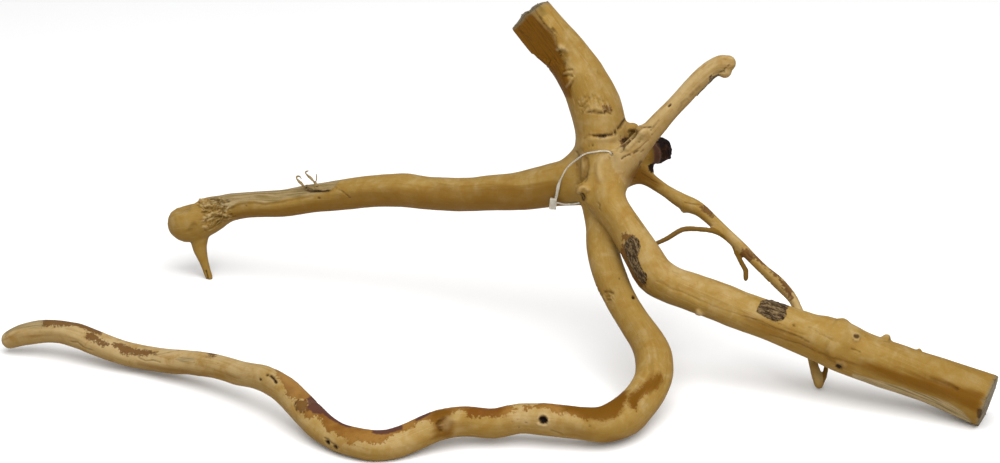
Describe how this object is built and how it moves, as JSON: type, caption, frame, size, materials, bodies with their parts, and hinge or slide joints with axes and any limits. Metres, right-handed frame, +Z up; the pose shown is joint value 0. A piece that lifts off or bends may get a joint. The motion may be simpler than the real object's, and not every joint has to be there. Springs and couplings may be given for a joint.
{
  "type": "piece of driftwood",
  "caption": "Branching root driftwood, peeled and weathered, with long curving limbs meeting at a crown, small bark patches, sawn ends and a nylon loop through the crown.",
  "frame": {"origin": "under the middle of the piece's bounding box, on the surface that it stands on", "axes": "+X along the longest extent, from the thin root's tip towards the thick sawn end; +Y away from the viewer of the picture, towards the left limb's knob; +Z up"},
  "size_m": [0.5879, 0.285, 0.2099],
  "materials": {
    "driftwood": "bare peeled wood, matt with a faint sheen, grey where weathered, with patches of dark bark",
    "tag_loop": "milky translucent nylon"
  },
  "bodies": {
    "root": {"driftwood": "driftwood", "tag_loop": "tag_loop"}
  },
  "joints": []
}
